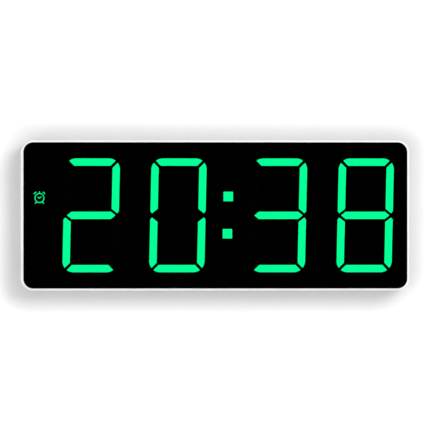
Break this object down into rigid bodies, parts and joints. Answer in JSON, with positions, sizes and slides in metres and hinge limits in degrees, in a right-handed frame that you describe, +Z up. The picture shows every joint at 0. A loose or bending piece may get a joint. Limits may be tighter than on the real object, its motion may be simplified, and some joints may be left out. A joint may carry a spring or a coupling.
{
  "type": "digital wall clock",
  "caption": "Slim rectangular digital clock with a dark glossy front, large green lit digits, a white housing, keyholes and a fold-out stand.",
  "frame": {"origin": "centre of the flat bottom edge that the clock stands on", "axes": "+Z up, -Y out of the display towards the reader, +X to the reader's right"},
  "size_m": [0.25, 0.027, 0.0968],
  "materials": {
    "white_shell": "satin white ABS moulding",
    "smoked_lens": "polished dark smoked acrylic",
    "black_film": "matt black film",
    "lit_plastic": "milky plastic lit green from behind",
    "light_box_plastic": "white reflecting ABS",
    "circuit_board": "green solder mask over glass laminate",
    "black_plastic": "black moulded plastic",
    "bright_steel": "plated steel",
    "dark_screw": "blackened steel"
  },
  "bodies": {
    "housing": {"front_frame": "white_shell", "rear_cover": "white_shell", "front_lens": "smoked_lens", "segment_mask": "black_film", "digit_1_diffuser": "lit_plastic", "digit_2_diffuser": "lit_plastic", "digit_3_diffuser": "lit_plastic", "digit_4_diffuser": "lit_plastic", "colon_diffuser": "lit_plastic", "symbol_diffuser": "lit_plastic", "light_box": "light_box_plastic", "display_board": "circuit_board", "controller_chip": "black_plastic", "smoothing_capacitor": "black_plastic", "buzzer": "black_plastic", "cell_holder": "black_plastic", "set_switch": "black_plastic", "up_switch": "black_plastic", "down_switch": "black_plastic", "alarm_switch": "black_plastic", "dimmer_switch": "black_plastic", "clock_crystal": "bright_steel", "power_socket": "bright_steel", "cell_contact": "bright_steel", "coin_cell": "bright_steel", "stand_pin": "bright_steel", "board_screw_1": "bright_steel", "board_screw_2": "bright_steel", "board_screw_3": "bright_steel", "board_screw_4": "bright_steel", "rear_screw_1": "dark_screw", "rear_screw_2": "dark_screw", "rear_screw_3": "dark_screw", "rear_screw_4": "dark_screw"},
    "stand": {"stand_leg": "white_shell"},
    "battery_door": {"battery_door": "white_shell"},
    "set_button": {"set_button": "white_shell", "set_plunger": "black_plastic"},
    "up_button": {"up_button": "white_shell", "up_plunger": "black_plastic"},
    "down_button": {"down_button": "white_shell", "down_plunger": "black_plastic"},
    "alarm_button": {"alarm_button": "white_shell", "alarm_plunger": "black_plastic"},
    "dimmer_button": {"dimmer_button": "white_shell", "dimmer_plunger": "black_plastic"}
  },
  "joints": [
    {"name": "stand_hinge", "type": "hinge", "parent": "housing", "child": "stand", "pos_m": [0, 0.0107, 0.0704], "axis": [1, 0, 0], "range_deg": [0, 62]},
    {"name": "battery_door_turn", "type": "hinge", "parent": "housing", "child": "battery_door", "pos_m": [-0.07, 0.012, 0.0284], "axis": [0, 1, 0], "range_deg": [0, 60]},
    {"name": "set_press", "type": "slide", "parent": "housing", "child": "set_button", "axis": [0, -1, 0], "range_m": [0, 0.0005], "stiffness_N_per_m": 400},
    {"name": "up_press", "type": "slide", "parent": "housing", "child": "up_button", "axis": [0, -1, 0], "range_m": [0, 0.0005], "stiffness_N_per_m": 400},
    {"name": "down_press", "type": "slide", "parent": "housing", "child": "down_button", "axis": [0, -1, 0], "range_m": [0, 0.0005], "stiffness_N_per_m": 400},
    {"name": "alarm_press", "type": "slide", "parent": "housing", "child": "alarm_button", "axis": [0, -1, 0], "range_m": [0, 0.0005], "stiffness_N_per_m": 400},
    {"name": "dimmer_press", "type": "slide", "parent": "housing", "child": "dimmer_button", "axis": [0, -1, 0], "range_m": [0, 0.0005], "stiffness_N_per_m": 400}
  ]
}
